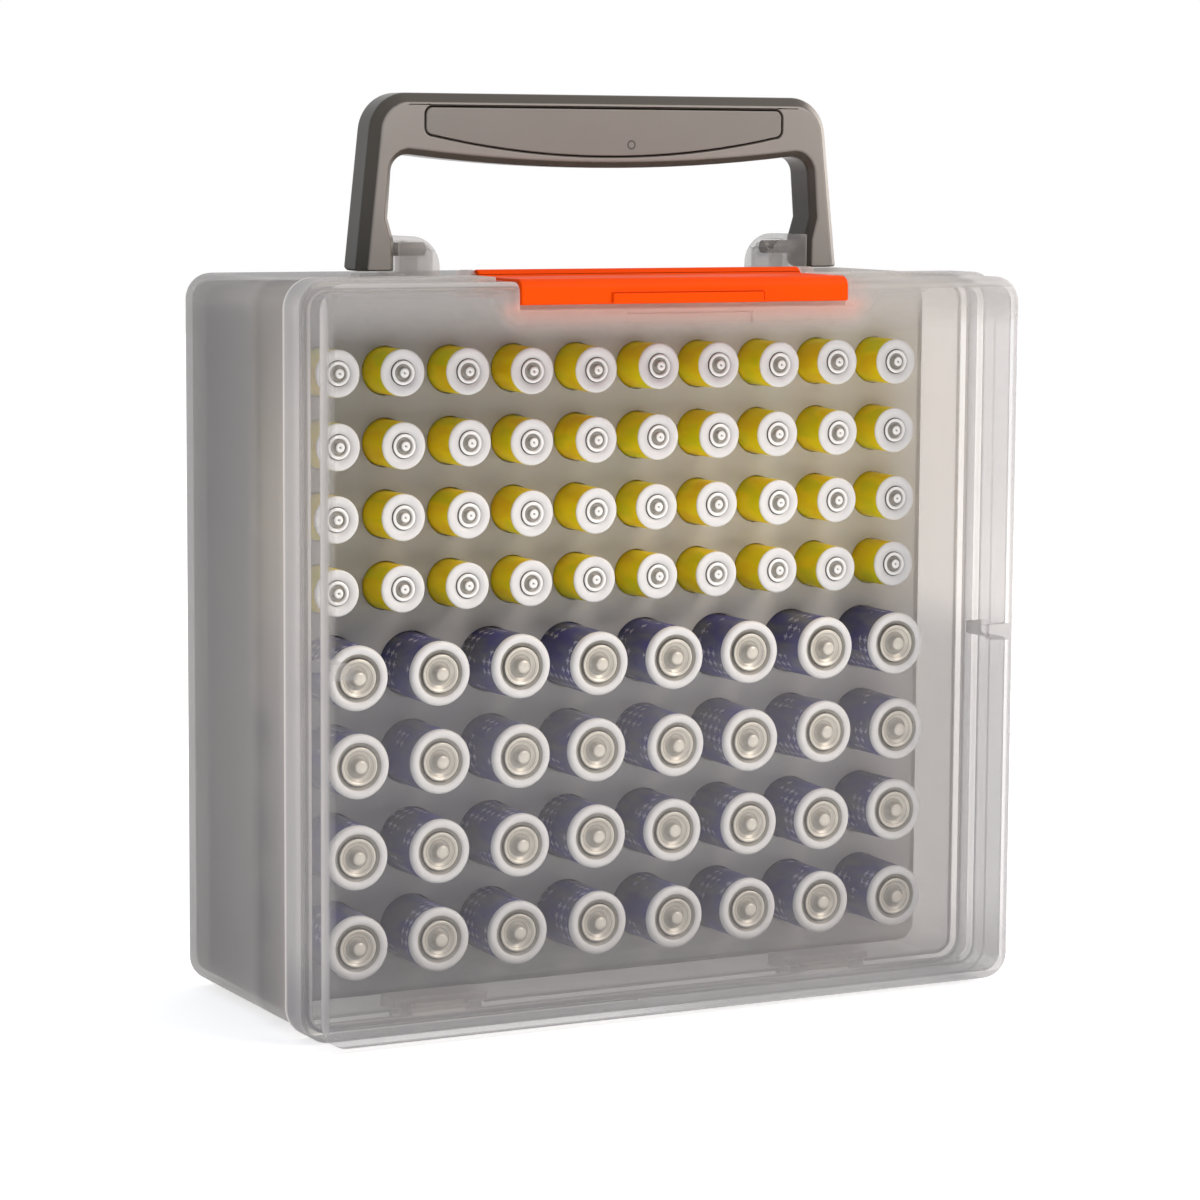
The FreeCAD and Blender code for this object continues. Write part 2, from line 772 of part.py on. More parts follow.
def tray_floor():
    """Floor that the cells stand on, held off the back wall by ribs."""
    body = new_body("tray_floor")
    half = tray_half - s.back_edge_radius
    low = tray_low + s.back_edge_radius
    high = tray_high - s.back_edge_radius
    corners = [(-half, low), (half, low), (half, high), (-half, high)]
    sketch = outline(body, "floor_outline", "XZ_Plane", cell_floor_y, corners)
    pad(body, sketch, s.floor_thick, "floor_sheet")
    step = (high - low - s.floor_rib_thick) / (FLOOR_RIBS - 1)
    for number in range(FLOOR_RIBS):
        rib_low = low + step * number
        block(
            body, f"floor_rib_{number + 1}", (-half, half),
            (cell_floor_y + s.floor_thick / 2, back - s.wall), (rib_low, rib_low + s.floor_rib_thick),
        )
    return body


# The rows of both sizes stand one above the other with the same gap between them.
row_gap = (
    tray_high - s.field_top_margin - tray_low - s.field_bottom_margin
    - (s.aaa_radius + s.aa_radius) * 2 * ROWS
) / (ROWS * 2 - 1)
aaa_row_pitch = s.aaa_radius * 2 + row_gap
aa_row_pitch = s.aa_radius * 2 + row_gap
aaa_top_row = tray_high - s.field_top_margin - s.aaa_radius
aa_top_row = tray_low + s.field_bottom_margin + s.aa_radius + aa_row_pitch * (ROWS - 1)
CELLS = [
    {
        "name": "aaa", "across": AAA_ACROSS, "faces": 8, "radius": s.aaa_radius,
        "can": s.aaa_can_length, "nub": s.aaa_nub_radius, "nub_height": s.aaa_nub_height,
        "pitch": (tray_half - s.aaa_side_margin - s.aaa_radius) * 2 / (AAA_ACROSS - 1),
        "row_pitch": aaa_row_pitch, "top": aaa_top_row,
    },
    {
        "name": "aa", "across": AA_ACROSS, "faces": 10, "radius": s.aa_radius,
        "can": s.aa_can_length, "nub": s.aa_nub_radius, "nub_height": s.aa_nub_height,
        "pitch": (tray_half - s.aa_side_margin - s.aa_radius) * 2 / (AA_ACROSS - 1),
        "row_pitch": aa_row_pitch, "top": aa_top_row,
    },
]


def spot(kind, row, column):
    """Where a cell's axis stands: x and z."""
    x = kind["pitch"] * (column - (kind["across"] - 1) / 2)
    z = kind["top"] - kind["row_pitch"] * row
    return x, z


def prism(name, faces, inradius, y, depth, x, z):
    """A many-sided bar along +Y, by the radius to its flats."""
    bar = doc.addObject("Part::Prism", name)
    bar.Polygon = faces
    bar.Placement = FreeCAD.Placement(
        FreeCAD.Vector(), FreeCAD.Rotation(FreeCAD.Vector(1, 0, 0), -90)
    )
    to_corner = math.cos(math.pi / faces)
    bind(bar, "Circumradius", inradius / to_corner)
    bind(bar, "Height", depth)
    place(bar, x, y, z)
    return bar


def cell_rows(kind):
    """Rows of cells, each row one sub-part: a can with its terminal nub to the front."""
    for row in range(ROWS):
        cells = []
        for column in range(kind["across"]):
            tag = f"{kind['name']}_{row + 1}_{column + 1}"
            x, z = spot(kind, row, column)
            can_front = cell_floor_y - kind["can"]
            can = prism(
                f"can_{tag}", kind["faces"], kind["radius"] * 1, can_front, kind["can"], x, z
            )
            nub = prism(
                f"nub_{tag}", NUB_FACES, kind["nub"], can_front - kind["nub_height"],
                kind["nub_height"] * 1, x, z,
            )
            cell = doc.addObject("Part::Fuse", f"cell_{tag}")
            cell.Base = can
            cell.Tool = nub
            cells.append(cell)
        group = doc.addObject("Part::Compound", f"{kind['name']}_cells_row_{row + 1}")
        group.Links = cells
        sub_parts.append(group)


def pin(label, radius, x, y, z):
    """A plain pin along X."""
    item = doc.addObject("Part::Cylinder", label)
    item.Placement = FreeCAD.Placement(
        FreeCAD.Vector(), FreeCAD.Rotation(FreeCAD.Vector(0, 1, 0), 90)
    )
    bind(item, "Radius", radius)
    bind(item, "Height", x[1] - x[0])
    place(item, x[0], y, z)
    sub_parts.append(item)
    return item


def pins():
    """Two lid hinge pins, the latch pin and two handle pivot pins."""
    for side, word in ((-1, "left"), (1, "right")):
        middle = s.hinge_spacing / 2 * side
        half = s.knuckle_length / 2 + s.shell_gap
        pin(f"lid_hinge_pin_{word}", s.hinge_pin_radius, (middle - half, middle + half), hinge_y, hinge_z)
        near = (lug_inner + s.lug_wall) * side
        far = (foot_inner + s.pin_hold - s.shell_gap) * side
        span = (near, far) if side > 0 else (far, near)
        pin(f"handle_pivot_pin_{word}", s.pivot_pin_radius, span, pivot_y, pivot_z)
    pin("latch_pin", s.hinge_pin_radius, (-notch_half, notch_half), latch_axis_y, latch_axis_z)


base_shell()
lid_shell()
latch()
handle_frame()
grip_panel()
socket_plate()
tray_floor()
for cell_kind in CELLS:
    cell_rows(cell_kind)
pins()

doc.recompute()
for item in doc.Objects:
    if "Invalid" in item.State or "Error" in item.State:
        raise RuntimeError(f"{item.Name} did not build: {item.State}")
for item in sub_parts:
    if item.Shape.isNull() or not item.Shape.isValid():
        raise RuntimeError(f"{item.Label} has no valid shape")

os.makedirs("parts", exist_ok=True)
for item in sub_parts:
    item.Shape.exportStep(f"parts/{item.Label}.step")
    print(item.Label, len(item.Shape.Solids), round(item.Shape.Volume))
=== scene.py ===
import bmesh
import bpy
import math
import random
from mathutils import Matrix, Vector


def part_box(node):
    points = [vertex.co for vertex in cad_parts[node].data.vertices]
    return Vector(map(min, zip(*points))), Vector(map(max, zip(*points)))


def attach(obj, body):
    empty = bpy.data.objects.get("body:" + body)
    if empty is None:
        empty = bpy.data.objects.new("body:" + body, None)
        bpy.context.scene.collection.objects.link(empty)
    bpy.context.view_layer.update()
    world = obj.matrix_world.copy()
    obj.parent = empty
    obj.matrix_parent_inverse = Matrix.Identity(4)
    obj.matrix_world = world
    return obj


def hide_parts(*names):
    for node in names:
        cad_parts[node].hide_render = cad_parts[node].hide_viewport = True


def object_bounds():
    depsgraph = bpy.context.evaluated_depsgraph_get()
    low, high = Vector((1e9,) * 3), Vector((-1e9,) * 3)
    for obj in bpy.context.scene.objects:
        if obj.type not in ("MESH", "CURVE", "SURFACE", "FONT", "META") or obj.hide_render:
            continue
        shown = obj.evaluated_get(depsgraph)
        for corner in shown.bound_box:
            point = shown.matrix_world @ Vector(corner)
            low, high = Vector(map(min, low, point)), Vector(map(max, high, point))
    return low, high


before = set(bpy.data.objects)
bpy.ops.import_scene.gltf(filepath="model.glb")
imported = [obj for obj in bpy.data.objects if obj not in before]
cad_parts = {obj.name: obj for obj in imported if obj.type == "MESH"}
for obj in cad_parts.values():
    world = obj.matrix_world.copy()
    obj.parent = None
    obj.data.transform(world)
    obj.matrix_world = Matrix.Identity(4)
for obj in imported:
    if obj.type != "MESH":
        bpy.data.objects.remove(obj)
cad_low, cad_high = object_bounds()

# The base shell. One injection moulding of natural polypropylene, with the handle lugs, the latch
# trough and the hinge ears on it. The wall is hazy: light goes through, and shapes hardly do.
MM = 0.001
MOULD_EDGE = 0.3 * MM
CLOUD_SIZE, SKIN_WAVE = 30 * MM, 2 * MM
BASE_SHADE, BASE_CLOUD = "#B8B5B2", "#B1B1B3"
BASE_CLEAR_SHARE, LUG_CLEAR_SHARE, TONGUE_CLEAR_SHARE, TIP_CLEAR_SHARE = 0.24, 0.62, 0.86, 0.6
# Painted light: the walls are painted paler by place, towards this shade, and the palest places glow.
PAINTED_LIGHT_SHADE = "#FFFCF8"
# How much painted light pales the base wall in each zone.
LEFT_PALE, BACK_PALE, BASE_RIGHT_PALE, UNBACKED_SHARE = 0.6, 0.3, 0.25, 0.25
BASE_TOP, LUG_FOOT = 163 * MM, 166 * MM
SIDE_FROM, SIDE_FULL = 79 * MM, 83 * MM
LOWER_HALF_TOP, UPPER_HALF_FOOT = 76 * MM, 92 * MM
LID_DEPTH, TONGUE_TIP = 21.3 * MM, 0.4 * MM
# Painted light: near the latch the plastic is painted orange, for the light that the latch throws about.
LATCH_GLOW_SHADE, LATCH_GLOW_BELOW, LATCH_GLOW_ABOVE, LATCH_GLOW_REACH = "#FFA78F", 0.75, 0.1875, 8 * MM
latch_low, latch_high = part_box("latch")
base_low, base_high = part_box("base_shell")
tray_low, tray_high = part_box("socket_plate")
lid_low, lid_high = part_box("lid_shell")


def linear(shade):
    """An sRGB hex shade as the linear colour that a shader takes."""
    parts = [int(shade[start:start + 2], 16) / 255 for start in (1, 3, 5)]
    return [p / 12.92 if p <= 0.04045 else ((p + 0.055) / 1.055) ** 2.4 for p in parts] + [1.0]


def new_material(name):
    """An empty material and its node tree."""
    material = bpy.data.materials.new(name)
    material.use_nodes = True
    material.node_tree.nodes.clear()
    return material, material.node_tree


def add_node(tree, kind, inputs=None, **settings):
    """Add a node, set it, and give its inputs values or links."""
    node = tree.nodes.new(kind)
    for name, value in settings.items():
        setattr(node, name, value)
    for name, value in (inputs or {}).items():
        if isinstance(value, bpy.types.NodeSocket):
            tree.links.new(value, node.inputs[name])
        else:
            node.inputs[name].default_value = value
    return node


def soft_zone(tree, *edges):
    """How far a place lies in a zone of the moulding, from 0 to 1. Each soft edge of the zone is a
    coordinate, where the zone starts along it, and from where on it is full."""
    share = 1.0
    for coordinate, start, full in edges:
        past = add_node(
            tree, "ShaderNodeMapRange", {"Value": coordinate, "From Min": start, "From Max": full},
            interpolation_type="SMOOTHSTEP",
        )
        share = add_node(
            tree, "ShaderNodeMath", {0: share, 1: past.outputs["Result"]}, operation="MULTIPLY"
        ).outputs[0]
    return share


def over_zones(tree, value, zones):
    """A value that changes over the moulding: each zone, the later over the earlier, has its own."""
    for zone, own in zones:
        value = add_node(
            tree, "ShaderNodeMix", {"Factor": zone, "A": value, "B": own}, data_type="FLOAT"
        ).outputs["Result"]
    return value


def painted_latch_glow(tree, place):
    """How strongly a place is painted with the orange light that the latch throws about."""
    middle, half = (latch_low + latch_high) / 2, (latch_high - latch_low) / 2
    offset = add_node(tree, "ShaderNodeVectorMath", {0: place, 1: middle}, operation="SUBTRACT")
    away = add_node(tree, "ShaderNodeVectorMath", {0: offset.outputs[0]}, operation="ABSOLUTE")
    past = add_node(
        tree, "ShaderNodeVectorMath", {0: away.outputs[0], 1: half}, operation="SUBTRACT"
    )
    outside = add_node(
        tree, "ShaderNodeVectorMath", {0: past.outputs[0], 1: (0.0, 0.0, 0.0)}, operation="MAXIMUM"
    )
    gap = add_node(tree, "ShaderNodeVectorMath", {0: outside.outputs[0]}, operation="LENGTH")
    height = add_node(tree, "ShaderNodeSeparateXYZ", {"Vector": place}).outputs["Z"]
    below = soft_zone(tree, (height, latch_low.z + 2 * MM, latch_low.z - 1 * MM))
    strength = over_zones(tree, LATCH_GLOW_ABOVE, [(below, LATCH_GLOW_BELOW)])
    near = soft_zone(tree, (gap.outputs["Value"], LATCH_GLOW_REACH, 0.0))
    return over_zones(tree, 0.0, [(near, strength)])


def moulded_polypropylene(
    name, shade, cloud, clear_share, glow_share=0.65, roughness=0.34, painted_light=None, painted_glow_strength=0.0
):
    """Natural polypropylene from a satin mould: a soft sheen on top, a milky body that glows
    where light comes from behind, and a clear share that lets shapes show through. Near the
    orange latch the colour is painted orange. Where light runs inside the wall, the colour is
    painted paler, and the palest places are made to glow: painted light."""
    material, tree = new_material(name)
    place = add_node(tree, "ShaderNodeTexCoord").outputs["Object"]
    if callable(clear_share):
        clear_share = clear_share(tree, place)
    # Melt flow leaves faint clouds in the body.
    clouds = add_node(
        tree, "ShaderNodeTexNoise", {"Vector": place, "Scale": 1 / CLOUD_SIZE, "Detail": 3.0}
    )
    body = add_node(
        tree, "ShaderNodeMix",
        {"Factor": clouds.outputs["Fac"], "A": linear(shade), "B": linear(cloud)}, data_type="RGBA",
    )
    # Painted light: near the latch the colour is painted orange.
    colour = add_node(
        tree, "ShaderNodeMix",
        {"Factor": painted_latch_glow(tree, place), "A": body.outputs["Result"], "B": linear(LATCH_GLOW_SHADE)},
        data_type="RGBA",
    ).outputs["Result"]
    painted_glow = (0.0, 0.0, 0.0, 1.0)
    # Painted light: places are painted paler, and the palest are made to glow, though they are no lamp.
    if painted_light:
        painted_paleness = painted_light(tree, place)
        colour = add_node(
            tree, "ShaderNodeMix",
            {"Factor": painted_paleness, "A": colour, "B": linear(PAINTED_LIGHT_SHADE)}, data_type="RGBA",
        ).outputs["Result"]
        painted_glow = soft_zone(tree, (painted_paleness, 0.9, 1.0))
    # The skin has the waviness of a blasted mould, drawn as coarse as the render can show it.
    skin = add_node(
        tree, "ShaderNodeTexNoise", {"Vector": place, "Scale": 1 / SKIN_WAVE, "Detail": 2.0}
    )
    waves = add_node(
        tree, "ShaderNodeBump",
        {"Height": skin.outputs["Fac"], "Strength": 0.015, "Distance": 0.1 * MM},
    )
    milky = add_node(
        tree, "ShaderNodeBsdfPrincipled",
        {"Base Color": colour, "Roughness": roughness, "IOR": 1.49, "Emission Color": painted_glow,
         "Emission Strength": painted_glow_strength, "Normal": waves.outputs["Normal"]},
    )
    glow = add_node(tree, "ShaderNodeBsdfTranslucent", {"Color": colour})
    wall = add_node(
        tree, "ShaderNodeMixShader",
        {"Fac": glow_share, 1: milky.outputs["BSDF"], 2: glow.outputs["BSDF"]},
    )
    clear = add_node(tree, "ShaderNodeBsdfTransparent")
    both = add_node(
        tree, "ShaderNodeMixShader",
        {"Fac": clear_share, 1: wall.outputs["Shader"], 2: clear.outputs["BSDF"]},
    )
    add_node(tree, "ShaderNodeOutputMaterial", {"Surface": both.outputs["Shader"]})
    return material


def rounded_off(bm, name, edge, segments=2):
    """An object of a finished bmesh, shaded smooth, with its sharp edges rounded."""
    mesh = bpy.data.meshes.new(name)
    bm.to_mesh(mesh)
    bm.free()
    for kept in ("custom_normal", "sharp_edge"):
        if kept in mesh.attributes:
            mesh.attributes.remove(mesh.attributes[kept])
    sharp = math.radians(32)
    mesh.shade_smooth()
    mesh.set_sharp_from_angle(angle=sharp)
    piece = bpy.data.objects.new(name, mesh)
    bpy.context.scene.collection.objects.link(piece)
    rounding = piece.modifiers.new("rounding", "BEVEL")
    rounding.width = edge
    rounding.segments = segments
    rounding.limit_method = "ANGLE"
    rounding.angle_limit = sharp
    rounding.harden_normals = True
    rounding.use_clamp_overlap = False
    rounding.loop_slide = False
    return piece


def softened(node, name, edge, segments=2):
    """A copy of a moulded solid: its triangles joined into faces, its sharp edges rounded."""
    bm = bmesh.new()
    bm.from_mesh(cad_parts[node].data)
    bmesh.ops.remove_doubles(bm, verts=bm.verts, dist=0.002 * MM)
    bmesh.ops.dissolve_limit(
        bm, angle_limit=math.radians(0.6), verts=bm.verts, edges=bm.edges, use_dissolve_boundaries=False
    )
    bmesh.ops.connect_verts_concave(bm, faces=bm.faces)
    return rounded_off(bm, name, edge, segments)


def fitted(piece, body, slot, materials, *nodes):
    """Give a piece its materials, its body and the solids that it stands for. The slot is not used."""
    for material in materials:
        piece.data.materials.append(material)
    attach(piece, body)
    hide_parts(*nodes)


def shining_tip(tree, x, y):
    """The free edge of the tongue, on the right, which is painted pale and made to glow for the light of
    the room that gets into it.
    """
    tip = base_low.y + TONGUE_TIP
    return soft_zone(tree, (y, tip + 0.3 * MM, tip), (x, SIDE_FROM, SIDE_FULL))


def base_clear_share(tree, place):
    """The walls are hazy. The lugs and the thin tongue in the rim are clearer, but not its tip."""
    x, y, z = add_node(tree, "ShaderNodeSeparateXYZ", {"Vector": place}).outputs
    tongue = lid_low.y + LID_DEPTH
    return over_zones(tree, BASE_CLEAR_SHARE, [
        (soft_zone(tree, (z, LUG_FOOT - 2 * MM, LUG_FOOT)), LUG_CLEAR_SHARE),
        (soft_zone(tree, (y, tongue + 0.2 * MM, tongue - 0.2 * MM)), TONGUE_CLEAR_SHARE),
        (shining_tip(tree, x, y), TIP_CLEAR_SHARE),
    ])


def painted_wall_light(tree, place):
    """Painted light: on the left the wall is painted paler where the tray backs it, and less so
    towards the back. On the right its upper half is painted paler. The free edge of the tongue
    is painted the palest."""
    x, y, z = add_node(tree, "ShaderNodeSeparateXYZ", {"Vector": place}).outputs
    behind_tray = soft_zone(tree, (y, tray_low.y - 4 * MM, tray_low.y + 3 * MM))
    backed = over_zones(tree, UNBACKED_SHARE, [(behind_tray, 1.0)])
    slope = add_node(
        tree, "ShaderNodeMapRange",
        {"Value": y, "From Min": tray_low.y, "From Max": base_high.y,
         "To Min": LEFT_PALE, "To Max": BACK_PALE},
    )
    left = add_node(
        tree, "ShaderNodeMath", {0: backed, 1: slope.outputs["Result"]}, operation="MULTIPLY"
    )
    upper = soft_zone(tree, (z, LOWER_HALF_TOP, UPPER_HALF_FOOT), (z, BASE_TOP + 1 * MM, BASE_TOP))
    wall = over_zones(tree, left.outputs[0], [
        (soft_zone(tree, (x, -SIDE_FULL, -SIDE_FROM)), BACK_PALE),
        (soft_zone(tree, (x, SIDE_FROM, SIDE_FULL)), over_zones(tree, 0.0, [(upper, BASE_RIGHT_PALE)])),
    ])
    return add_node(
        tree, "ShaderNodeMath", {0: wall, 1: shining_tip(tree, x, y)}, operation="MAXIMUM"
    ).outputs[0]


# The base wall is painted paler by place, and its tongue's tip glows: painted light.
hazy_polypropylene = moulded_polypropylene(
    "moulded_polypropylene_hazy", BASE_SHADE, BASE_CLOUD, base_clear_share, glow_share=0.78,
    painted_light=painted_wall_light, painted_glow_strength=2.5,
)
base_shell = softened("base_shell", "rear_shell", MOULD_EDGE)
fitted(base_shell, "base", "translucent_shell", [hazy_polypropylene], "base_shell")

# The socket tray. Two mouldings in the same polypropylene, fixed in the base: a plate with a socket
# for each cell and a skirt all round, and the floor that the cells stand on.
TRAY_SHADE, TRAY_CLOUD = "#BCBCBE", "#C2C2C3"
# How much the tray is painted paler on its right: painted light.
TRAY_CLEAR_SHARE, TRAY_RIGHT_PALE = 0.05, 0.75
TRAY_CORNER, PLATE_THICK, SKIRT_WALL = 4.2 * MM, 2.0 * MM, 1.4 * MM
SOCKET_GAP, SOCKET_EDGE, FLOOR_EDGE = 0.25 * MM, 0.15 * MM, 0.2 * MM
AAA_RADIUS, AA_RADIUS = 5.25 * MM, 7.25 * MM
AAA_ACROSS, AA_ACROSS, ROWS = 10, 8, range(1, 5)
tray_size = tray_high - tray_low
tray_middle = (tray_low + tray_high) / 2
lay = (
    Matrix.Translation((tray_middle.x, tray_low.y, tray_middle.z))
    @ Matrix.Rotation(math.pi / 2, 4, "X") @ Matrix.Diagonal((tray_size.x, tray_size.z, 1.0, 1.0))
)


def cell_places(node, across, radius):
    """Where the axes of a row of cells stand: x and z."""
    low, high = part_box(node)
    first, last = low.x + radius, high.x - radius
    pitch = (last - first) / (across - 1)
    return [(first + pitch * column, (low.z + high.z) / 2) for column in range(across)]


def tray_outline():
    """The outline of the tray's front with its round corners, as a ring of edges."""
    bm = bmesh.new()
    bmesh.ops.create_grid(bm, x_segments=1, y_segments=1, size=0.5)
    bmesh.ops.transform(bm, matrix=lay, verts=bm.verts)
    bmesh.ops.bevel(
        bm, geom=bm.verts[:], offset=TRAY_CORNER, segments=6, profile=0.5, affect="VERTICES",
        material=-1,
    )
    bmesh.ops.delete(bm, geom=bm.faces[:], context="FACES_ONLY")
    return bm


def painted_light_from_right(tree, place):
    """Painted light: the tray is painted paler to the right, where light comes in, and less so towards
    the left.
    """
    across = add_node(tree, "ShaderNodeSeparateXYZ", {"Vector": place}).outputs["X"]
    to_right = soft_zone(tree, (across, tray_low.x, tray_high.x))
    return over_zones(tree, 0.0, [(to_right, TRAY_RIGHT_PALE)])


tray_polypropylene = moulded_polypropylene(
    "moulded_polypropylene_tray", TRAY_SHADE, TRAY_CLOUD, TRAY_CLEAR_SHARE, glow_share=0.4,
    painted_light=painted_light_from_right,
)
bm = tray_outline()
skirt = bmesh.ops.extrude_edge_only(bm, edges=bm.edges[:])
moved = [item for item in skirt["geom"] if isinstance(item, bmesh.types.BMVert)]
bmesh.ops.translate(bm, verts=moved, vec=(0, tray_size.y, 0))
bmesh.ops.recalc_face_normals(bm, faces=bm.faces)
bmesh.ops.solidify(bm, geom=bm.faces[:], thickness=SKIRT_WALL)
skirt_mesh = bpy.data.meshes.new("tray_skirt")
bm.to_mesh(skirt_mesh)
bm.free()

# The plate is filled in between its outline and its round socket mouths.
bm = tray_outline()
for kind, across, radius in (("aaa", AAA_ACROSS, AAA_RADIUS), ("aa", AA_ACROSS, AA_RADIUS)):
    for row in ROWS:
        for x, z in cell_places(f"{kind}_cells_row_{row}", across, radius):
            seat = Matrix.Translation((x, tray_low.y, z)) @ Matrix.Rotation(math.pi / 2, 4, "X")
            bmesh.ops.create_circle(
                bm, cap_ends=False, segments=40, radius=radius + SOCKET_GAP, matrix=seat
            )
bmesh.ops.triangle_fill(bm, edges=bm.edges[:], use_beauty=True, use_dissolve=False)
front = bmesh.ops.extrude_face_region(bm, geom=bm.faces[:])
moved = [item for item in front["geom"] if isinstance(item, bmesh.types.BMVert)]
bmesh.ops.translate(bm, verts=moved, vec=(0, PLATE_THICK, 0))
bm.from_mesh(skirt_mesh)
bmesh.ops.recalc_face_normals(bm, faces=bm.faces)
bpy.data.meshes.remove(skirt_mesh)
tray = rounded_off(bm, "socket_tray", SOCKET_EDGE)
fitted(tray, "base", "translucent_tray", [tray_polypropylene], "socket_plate")
cell_floor = softened("tray_floor", "cell_floor", FLOOR_EDGE)
fitted(cell_floor, "base", "translucent_tray", [tray_polypropylene], "tray_floor")

# The cells. Each is a steel can in a printed sleeve, closed at the front by a white washer round
# the nickel-plated terminal. Each leans a little in its socket and is turned its own way.
LEAN = math.radians(1.6)
BAND_SIZE, MARK_PITCH, PATCH_SIZE, RUB_SIZE = 5 * MM, 2.4 * MM, 9 * MM, 3 * MM
MARK_ARM, MARK_REACH = 0.09, 0.34
SHIFT_MOST = 500 * MM
random.seed(7)


def printed_sleeve(name, shades, marks=None):
    """Ink on shrink film, which gives cloudy bands of like shades without a highlight. Marks are
    small pale plus signs: their shade, and the share of the sleeve that has them."""
    material, tree = new_material(name)
    place = add_node(tree, "ShaderNodeUVMap", uv_map="sleeve").outputs["UV"]
    stretched = add_node(
        tree, "ShaderNodeMapping", {"Vector": place, "Scale": (1.0, 0.35, 1.0)}
    ).outputs["Vector"]
    bands = add_node(
        tree, "ShaderNodeTexNoise", {"Vector": stretched, "Scale": 1 / BAND_SIZE, "Detail": 2.0}
    )
    colours = add_node(tree, "ShaderNodeValToRGB", {"Fac": bands.outputs["Fac"]})
    ramp = colours.color_ramp.elements
    ramp[0].position, ramp[1].position = 0.35, 0.65
    ramp[0].color, ramp[1].color = linear(shades[0]), linear(shades[-1])
    ramp.new(0.5).color = linear(shades[1])
    ink = colours.outputs["Color"]
    if marks:
        # The signs stand on a raster, thinned out in patches.
        mark_shade, mark_share = marks
        raster = add_node(
            tree, "ShaderNodeVectorMath", {0: place, 1: (MARK_PITCH, MARK_PITCH, 1.0)},
            operation="DIVIDE",
        )
        within = add_node(
            tree, "ShaderNodeVectorMath", {0: raster.outputs[0]}, operation="FRACTION"
        )
        centred = add_node(
            tree, "ShaderNodeVectorMath", {0: within.outputs[0], 1: (0.5, 0.5, 0.0)},
            operation="SUBTRACT",
        )
        away = add_node(tree, "ShaderNodeVectorMath", {0: centred.outputs[0]}, operation="ABSOLUTE")
        along, up, _ = add_node(tree, "ShaderNodeSeparateXYZ", {"Vector": away.outputs[0]}).outputs
        nearer = add_node(tree, "ShaderNodeMath", {0: along, 1: up}, operation="MINIMUM")
        further = add_node(tree, "ShaderNodeMath", {0: along, 1: up}, operation="MAXIMUM")
        thin = add_node(
            tree, "ShaderNodeMath", {0: nearer.outputs[0], 1: MARK_ARM}, operation="LESS_THAN"
        )
        short = add_node(
            tree, "ShaderNodeMath", {0: further.outputs[0], 1: MARK_REACH}, operation="LESS_THAN"
        )
        plus = add_node(
            tree, "ShaderNodeMath", {0: thin.outputs[0], 1: short.outputs[0]}, operation="MULTIPLY"
        )
        patches = add_node(
            tree, "ShaderNodeTexNoise", {"Vector": place, "Scale": 1 / PATCH_SIZE, "Detail": 1.0}
        )
        printed = add_node(
            tree, "ShaderNodeMath", {0: patches.outputs["Fac"], 1: 1 - mark_share},
            operation="GREATER_THAN",
        )
        shown = add_node(
            tree, "ShaderNodeMath", {0: plus.outputs[0], 1: printed.outputs[0]}, operation="MULTIPLY"
        )
        ink = add_node(
            tree, "ShaderNodeMix",
            {"Factor": shown.outputs[0], "A": ink, "B": linear(mark_shade)}, data_type="RGBA",
        ).outputs["Result"]
    film = add_node(
        tree, "ShaderNodeBsdfPrincipled",
        {"Base Color": ink, "Roughness": 0.4, "IOR": 1.5, "Specular IOR Level": 0.04},
    )
    add_node(tree, "ShaderNodeOutputMaterial", {"Surface": film.outputs["BSDF"]})
    return material


def cell_skin(name, shade, worn_shade, metallic, roughness):
    """Pressed card, plated or drawn steel: an even skin with faint rubbed patches."""
    material, tree = new_material(name)
    place = add_node(tree, "ShaderNodeTexCoord").outputs["Object"]
    rubs = add_node(
        tree, "ShaderNodeTexNoise", {"Vector": place, "Scale": 1 / RUB_SIZE, "Detail": 4.0}
    )
    tone = add_node(
        tree, "ShaderNodeMix",
        {"Factor": rubs.outputs["Fac"], "A": linear(shade), "B": linear(worn_shade)},
        data_type="RGBA",
    )
    dull = add_node(
        tree, "ShaderNodeMapRange",
        {"Value": rubs.outputs["Fac"], "To Min": roughness - 0.06, "To Max": roughness + 0.08},
    )
    skin = add_node(
        tree, "ShaderNodeBsdfPrincipled",
        {"Base Color": tone.outputs["Result"], "Metallic": metallic, "Roughness": dull.outputs["Result"]},
    )
    add_node(tree, "ShaderNodeOutputMaterial", {"Surface": skin.outputs["BSDF"]})
    return material


def spun_cell(profile, steps):
    """Spin (radius, depth, finish) points about the Y axis into one cell's closed mesh."""
    bm = bmesh.new()
    points = [bm.verts.new((radius, depth, 0.0)) for radius, depth, finish in profile]
    edges = [bm.edges.new(pair) for pair in zip(points, points[1:])]
    bmesh.ops.spin(
        bm, geom=points + edges, cent=(0, 0, 0), axis=(0, 1, 0), angle=math.tau, steps=steps,
        use_merge=True, use_duplicate=False,
    )
    bmesh.ops.remove_doubles(bm, verts=bm.verts, dist=0.001 * MM)
    bmesh.ops.recalc_face_normals(bm, faces=bm.faces)
    sleeve = bm.loops.layers.uv.new("sleeve")
    outer = max(radius for radius, depth, finish in profile)
    rings = [
        ((start[0] + end[0]) / 2, (start[1] + end[1]) / 2, end[2])
        for start, end in zip(profile, profile[1:])
    ]
    for face in bm.faces:
        centre = face.calc_center_median()
        across = math.hypot(centre.x, centre.z)
        ring = min(rings, key=lambda ring: abs(across - ring[0]) + abs(centre.y - ring[1]))
        face.material_index = ring[2]
        face.smooth = True
        middle = math.atan2(centre.z, centre.x)
        for loop in face.loops:
            turn = math.atan2(loop.vert.co.z, loop.vert.co.x)
            turn += math.tau * round((middle - turn) / math.tau)
            loop[sleeve].uv = (turn * outer, loop.vert.co.y)
    mesh = bpy.data.meshes.new("cell")
    bm.to_mesh(mesh)
    bm.free()
    return mesh


